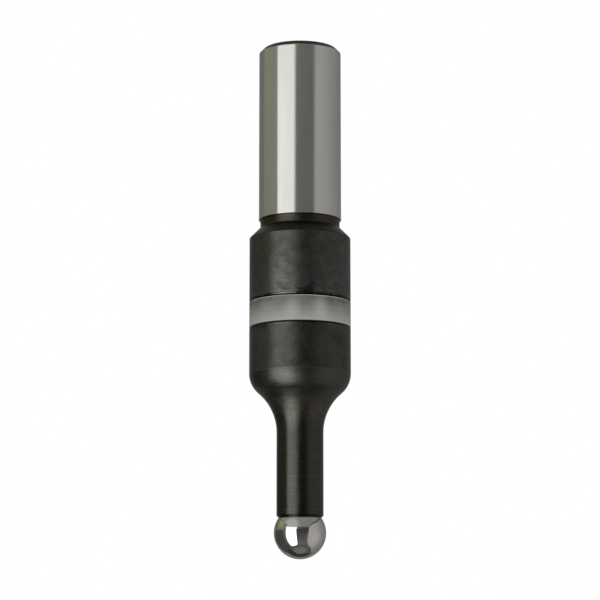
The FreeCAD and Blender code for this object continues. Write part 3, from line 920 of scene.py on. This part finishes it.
def pullSpring(name, spring):
    # a coil with a hook at each end: the upper one on the anchor pin, the lower one on a
    # long leg through the stud's eye
    half, bend = spring["wire"] / 2, spring["bend"]
    hook = hypot(spring["radius"], bend)
    leave = degrees(atan2(spring["radius"], bend))
    upper = spring["hookTop"] - hook + half
    lower = spring["eye"] + spring["eyeRadius"] - half - spring["play"] + hook
    coilTop = upper - spring["leg"] - bend
    coilFoot = coilTop - spring["length"]
    start = Vector((cos(radians(leave)), sin(radians(leave)), 0)) * spring["radius"]
    outward = (Vector((0, hook, 0)) - start) / bend
    middle = start + Vector((0, 0, coilTop + bend))
    topBend = []
    for n in range(spring["bendRuns"] + 1):
        a = radians(-90 * n / spring["bendRuns"])
        topBend.append(middle + outward * (bend * cos(a)) + Vector((0, 0, bend * sin(a))))
    footBend = [(p.x, -p.y, coilFoot + coilTop - p.z) for p in reversed(topBend)]
    topBend = [tuple(p) for p in topBend]

    def hookPath(level, first, last):
        turn = arc((0, level), hook, first, last, spring["hookRuns"])
        return [(0, across, height) for across, height in turn]

    points = [(0, -hook, upper - spring["tail"])] + hookPath(upper, 180, 0) + topBend
    points += helix(coilTop, spring["radius"], leave, -leave - 360 * spring["turns"],
                    -spring["length"])[1:-1]
    points += footBend + hookPath(lower, 180, 360)
    points.append((0, hook, lower + spring["tail"]))
    return wirePiece(name, points, spring["wire"]), coilTop, coilFoot


cellSpringPiece = coneSpring("cellSpring", springs["cell"])
contactSpringPiece = coneSpring("contactSpring", springs["contact"])
pullSpringPiece, coilTop, coilFoot = pullSpring("pullSpring", springs["pull"])
print("springs: done")


def lampMesh():
    # one lamp: a bevelled base with a domed lens, hung under the board
    radial, across, thick = lamps["base"]
    lensRadius, lensHeight = lamps["lens"]
    shape = bmesh.new()
    bmesh.ops.create_cube(shape, size=1.0)
    for vert in shape.verts:
        vert.co = Vector((vert.co.x * radial, vert.co.y * across,
                          (vert.co.z - 0.5) * thick)) * mm
    bmesh.ops.bevel(shape, geom=shape.edges[:], offset=lamps["bevel"] * mm, segments=2,
                    affect="EDGES", profile=0.5)
    dome = [ringOf(shape, lensRadius * r, -thick - lensHeight * z, lamps["sides"])
            for r, z in arc((0, 0), 1.0, 0, 90, lamps["rings"])]
    skin(shape, zip(dome, dome[1:]), lamps["sides"])
    shape.faces.new(dome[0])
    bmesh.ops.translate(shape, verts=shape.verts,
                        vec=Vector((lamps["circle"], 0, lamps["foot"])) * mm)
    return meshFrom(shape, "lamp", 40)


lampPiece = grown("lamps", newPiece("oneLamp", lampMesh(), finish["lamp"]), trees["round"],
                  finish["lamp"], Count=lamps["count"])

# each piece: the body it rides on, the node it stands for, the record's finish
for piece, body, node, slotName in (
    (shankPiece, "shank", "shank_body", "ground_steel"),
    (windowPiece, "probe", "light_ring", "frosted_window"),
    (headPiece, "probe", "probe_body", "black_oxide_steel"),
    (ballPiece, "tip", "ball", "polished_steel"),
    (sleevePiece, "probe", "thread_sleeve", "nickel_brass"),
    (sealPiece, "probe", "seal_ring", "seal_rubber"),
    (cellPiece, "cell", "battery", "battery_jacket"),
    (contactSpringPiece, "probe", "contact_spring", "spring_wire"),
    (lampPiece, "probe", "leds", "lamp_lens"),
):
    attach(piece, body)
    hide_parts(node)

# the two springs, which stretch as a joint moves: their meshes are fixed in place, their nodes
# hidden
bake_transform(cellSpringPiece)
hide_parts("battery_spring")
coilTop * mm
coilFoot * mm
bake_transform(pullSpringPiece)
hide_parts("tension_spring")

# nodes that keep their own shape
for node, coat in (("battery_contact", "brass"), ("contact_guard", "moulded"),
                   ("circuit_board", "board"), ("resistor", "resistor"),
                   ("anchor_pin", "wire"), ("pull_stud", "wire")):
    for slot in cadNodes[node].material_slots:
        slot.material = finish[coat]


# what the metal mirrors: a tent painted with soft cards. Azimuth 0 is the camera's side,
# and it grows to the right.
tent = {
    "centre": (0.0, 0.0, 0.05), "radius": 3.0, "cap": 87, "runs": 58, "segments": 96,
    "sides": (0.205, 0.207, 0.19, 1.0),
    "top": (0.236, 0.229, 0.217, 1.0), "topFrom": (20, 30),
    "low": (0.088, 0.088, 0.076, 1.0), "lowFrom": (-52, -30),
    "foot": (0.165, 0.169, 0.138, 1.0), "footFrom": (-82, -58),
    "ripple": 0.08, "rippleTurn": 0.32,
}
cards = {  # azimuth from and to, elevation from and to, squareness, softness, colour
    "haze": (-84, -10, 4, 60, 2, 0.5, (0.46, 0.45, 0.44, 1.0)),
    "leftGrey": (-152, -66, 7.5, 31, 8, 0.05, (0.122, 0.124, 0.106, 1.0)),
    "olive": (-122, -84, 7.5, 31, 4, 0.16, (0.200, 0.191, 0.122, 1.0)),
    "oliveTop": (-126, -82, 17, 33, 2, 0.7, (0.31, 0.305, 0.18, 1.0)),
    "leftSide": (-86, -64, 7.5, 31, 8, 0.05, (0.205, 0.208, 0.193, 1.0)),
    "leftDark": (-147, -66, -53, 8.5, 4, 0.05, (0.062, 0.064, 0.052, 1.0)),
    "underLeft": (-210, -100, -71, -47, 3, 0.25, (0.036, 0.037, 0.030, 1.0)),
    "underRight": (140, 210, -71, -47, 3, 0.25, (0.036, 0.037, 0.030, 1.0)),
    "leftEdge": (-79, -62, -50, 12, 4, 0.2, grey(0.13)),
    "dark": (-17, 39, -57, 20, 12, 0.03, (1.0, 1.0, 1.0, 1.0)),
    "darkTop": (-17, 39, 11, 20, 12, 0.03, (1.0, 1.0, 0.96, 1.0)),
    "key": (-65.2, -16.2, -58, 20.5, 6, 0.025, (1.02, 1.0, 0.97, 1.0)),
    "keyTop": (-66.2, -13.7, 11, 20.5, 12, 0.02, (1.02, 1.0, 0.97, 1.0)),
    "rightRim": (39, 152, -57, 37, 3.2, 0.03, grey(0.09)),
    "right": (38.5, 152, -55, 32, 3.2, 0.03, (1.03, 1.0, 0.97, 1.0)),
    "rightWarm": (42, 98, -48, 3, 2, 0.7, (0.45, 0.40, 0.368, 1.0)),
}
falls = {  # cards whose level changes along one direction: from, to, first level, last
    "dark": ("elevation", -56, 8, 0.13, 0.045),
    "darkTop": ("azimuth", -16, 24, 0.10, 0.06),
    "key": ("elevation", -30, 11, 2.7, 1.33),
    "keyTop": ("elevation", 10, 20, 1.30, 1.30),
    "right": ("azimuth", 42, 140, 0.425, 0.195),
}


def tentLook(graph):
    t = tent
    place = graph.add("ShaderNodeTexCoord").out("Object")
    place = graph.add("ShaderNodeMapping", {}, {
        "Vector": place, "Location": tuple(-value for value in t["centre"])})
    x, y, z = graph.split(place)
    azimuth = x.maths("ARCTAN2", y * -1.0) * degrees(1)
    elevation = (z / t["radius"]).maths("ARCSINE") * degrees(1)
    shade = graph.mix(graph.ramp(elevation, *t["topFrom"]), t["sides"], t["top"])
    shade = graph.mix(graph.ramp(elevation, *t["lowFrom"], 1.0, 0.0), shade, t["low"])
    ripple = (elevation * t["rippleTurn"]).maths("SINE") * t["ripple"] + 1.0
    shade = graph.mix(graph.ramp(elevation, *t["footFrom"], 1.0, 0.0), shade,
                      graph.scaled(t["foot"][:3], ripple))
    for name, (left, right, low, high, square, soft, color) in cards.items():
        across = abs(azimuth - (left + right) / 2) / ((right - left) / 2)
        upward = abs(elevation - (low + high) / 2) / ((high - low) / 2)
        reach = (across ** square + upward ** square) ** (1 / square)
        if name in falls:
            along, first, last, firstLevel, lastLevel = falls[name]
            place = azimuth if along == "azimuth" else elevation
            color = graph.scaled(color[:3], graph.linear(place, first, last, firstLevel,
                                                         lastLevel))
        shade = graph.mix(graph.ramp(reach, 1 - soft, 1 + soft, 1.0, 0.0), shade, color)
    return shade


def seenRays(graph):
    # 1 for what the camera or a reflection sees, 0 for the light that falls on the tool
    rays = graph.add("ShaderNodeLightPath")
    return (rays.out("Is Camera Ray") + rays.out("Is Glossy Ray")
            + rays.out("Is Transmission Ray")).maths("MINIMUM", 1.0)


tentMaterial, graph = blankMaterial("tentCards")
graph.add("ShaderNodeOutputMaterial", {}, {
    "Surface": graph.add("ShaderNodeEmission", {}, {"Color": tentLook(graph)})})
tentMaterial.cycles.emission_sampling = "NONE"
middle, reach = tent["centre"][2] / mm, tent["radius"] / mm
tentOutline = [(0, middle - reach)]
tentOutline += arc((0, middle), reach, -tent["cap"], tent["cap"], tent["runs"])
tentOutline += [(0, middle + reach)]
tentPiece = newPiece("tent", latheMesh("tent", tentOutline, tent["segments"], False, 180),
                     tentMaterial)
for ray in ("camera", "diffuse", "transmission", "shadow", "volume_scatter"):
    setattr(tentPiece, "visible_" + ray, False)

# a plain pale floor, well below the tool, white where the camera or a reflection sees it
floor = {"level": -0.6, "half": 4.0, "color": grey(0.85), "glow": 0.95, "glowShare": 0.6}
floorMaterial, graph = blankMaterial("paleFloor")
paint = graph.add("ShaderNodeBsdfDiffuse", {}, {"Color": floor["color"]})
glow = graph.add("ShaderNodeEmission", {}, {"Color": grey(1.0), "Strength": floor["glow"]})
graph.add("ShaderNodeOutputMaterial", {}, {"Surface": graph.add(
    "ShaderNodeMixShader", {}, {0: seenRays(graph) * floor["glowShare"], 1: paint,
                                2: glow})})
half, level = floor["half"], floor["level"]
floorMesh = bpy.data.meshes.new("floor")
floorMesh.from_pydata([(-half, -half, level), (half, -half, level), (half, half, level),
                       (-half, half, level)], [], [(0, 1, 2, 3)])
floorPiece = newPiece("floor", floorMesh, floorMaterial)
floorPiece.visible_glossy = False

# the world: white behind the tool, soft and level for everything that isn't a mirror
world = bpy.data.worlds.new("studio")
world.use_nodes = True
graph = Graph(world.node_tree)
ambient = 0.38
graph.add("ShaderNodeOutputWorld", {}, {"Surface": graph.add("ShaderNodeBackground", {}, {
    "Color": grey(1.0), "Strength": ambient + seenRays(graph) * (1 - ambient)})})
bpy.context.scene.world = world

lights = {  # azimuth, elevation, distance, size, power
    "key": (-40, -18, 0.8, 0.45, 4.6),
    "fill": (75, 5, 0.9, 0.5, 4.0),
    "overhead": (10, 70, 0.9, 0.6, 2.0),
    "back": (165, 15, 0.9, 0.5, 2.4),
}
for name, (azimuth, elevation, distance, size, power) in lights.items():
    light = bpy.data.lights.new(name, "AREA")
    light.shape, light.size, light.energy = "DISK", size, power
    light.cycles.use_multiple_importance_sampling = False  # or it sparkles on the shank
    holder = newObject(name, light)
    a, e = radians(azimuth), radians(elevation)
    away = Vector((sin(a) * cos(e), -cos(a) * cos(e), sin(e)))
    holder.location = Vector(tent["centre"]) + away * distance
    holder.rotation_euler = away.to_track_quat("Z", "Y").to_euler()
    holder.visible_glossy = False

view = {"place": (0.0, -0.48861, -0.03523), "target": (0.0, 0.0, 0.05005), "lens": 153.78,
        "sensor": 36.0, "clip": (0.01, 30.0)}
lens = bpy.data.cameras.new("camera")
lens.lens, lens.sensor_width = view["lens"], view["sensor"]
lens.sensor_fit, (lens.clip_start, lens.clip_end) = "HORIZONTAL", view["clip"]
camera = newObject("camera", lens)
camera.location = view["place"]
aim = Vector(view["target"]) - Vector(view["place"])
camera.rotation_euler = aim.to_track_quat("-Z", "Y").to_euler()
bpy.context.scene.camera = camera
bpy.context.scene.view_settings.view_transform = "Standard"
print("studio: tent, floor,", len(lights), "lamps, camera")
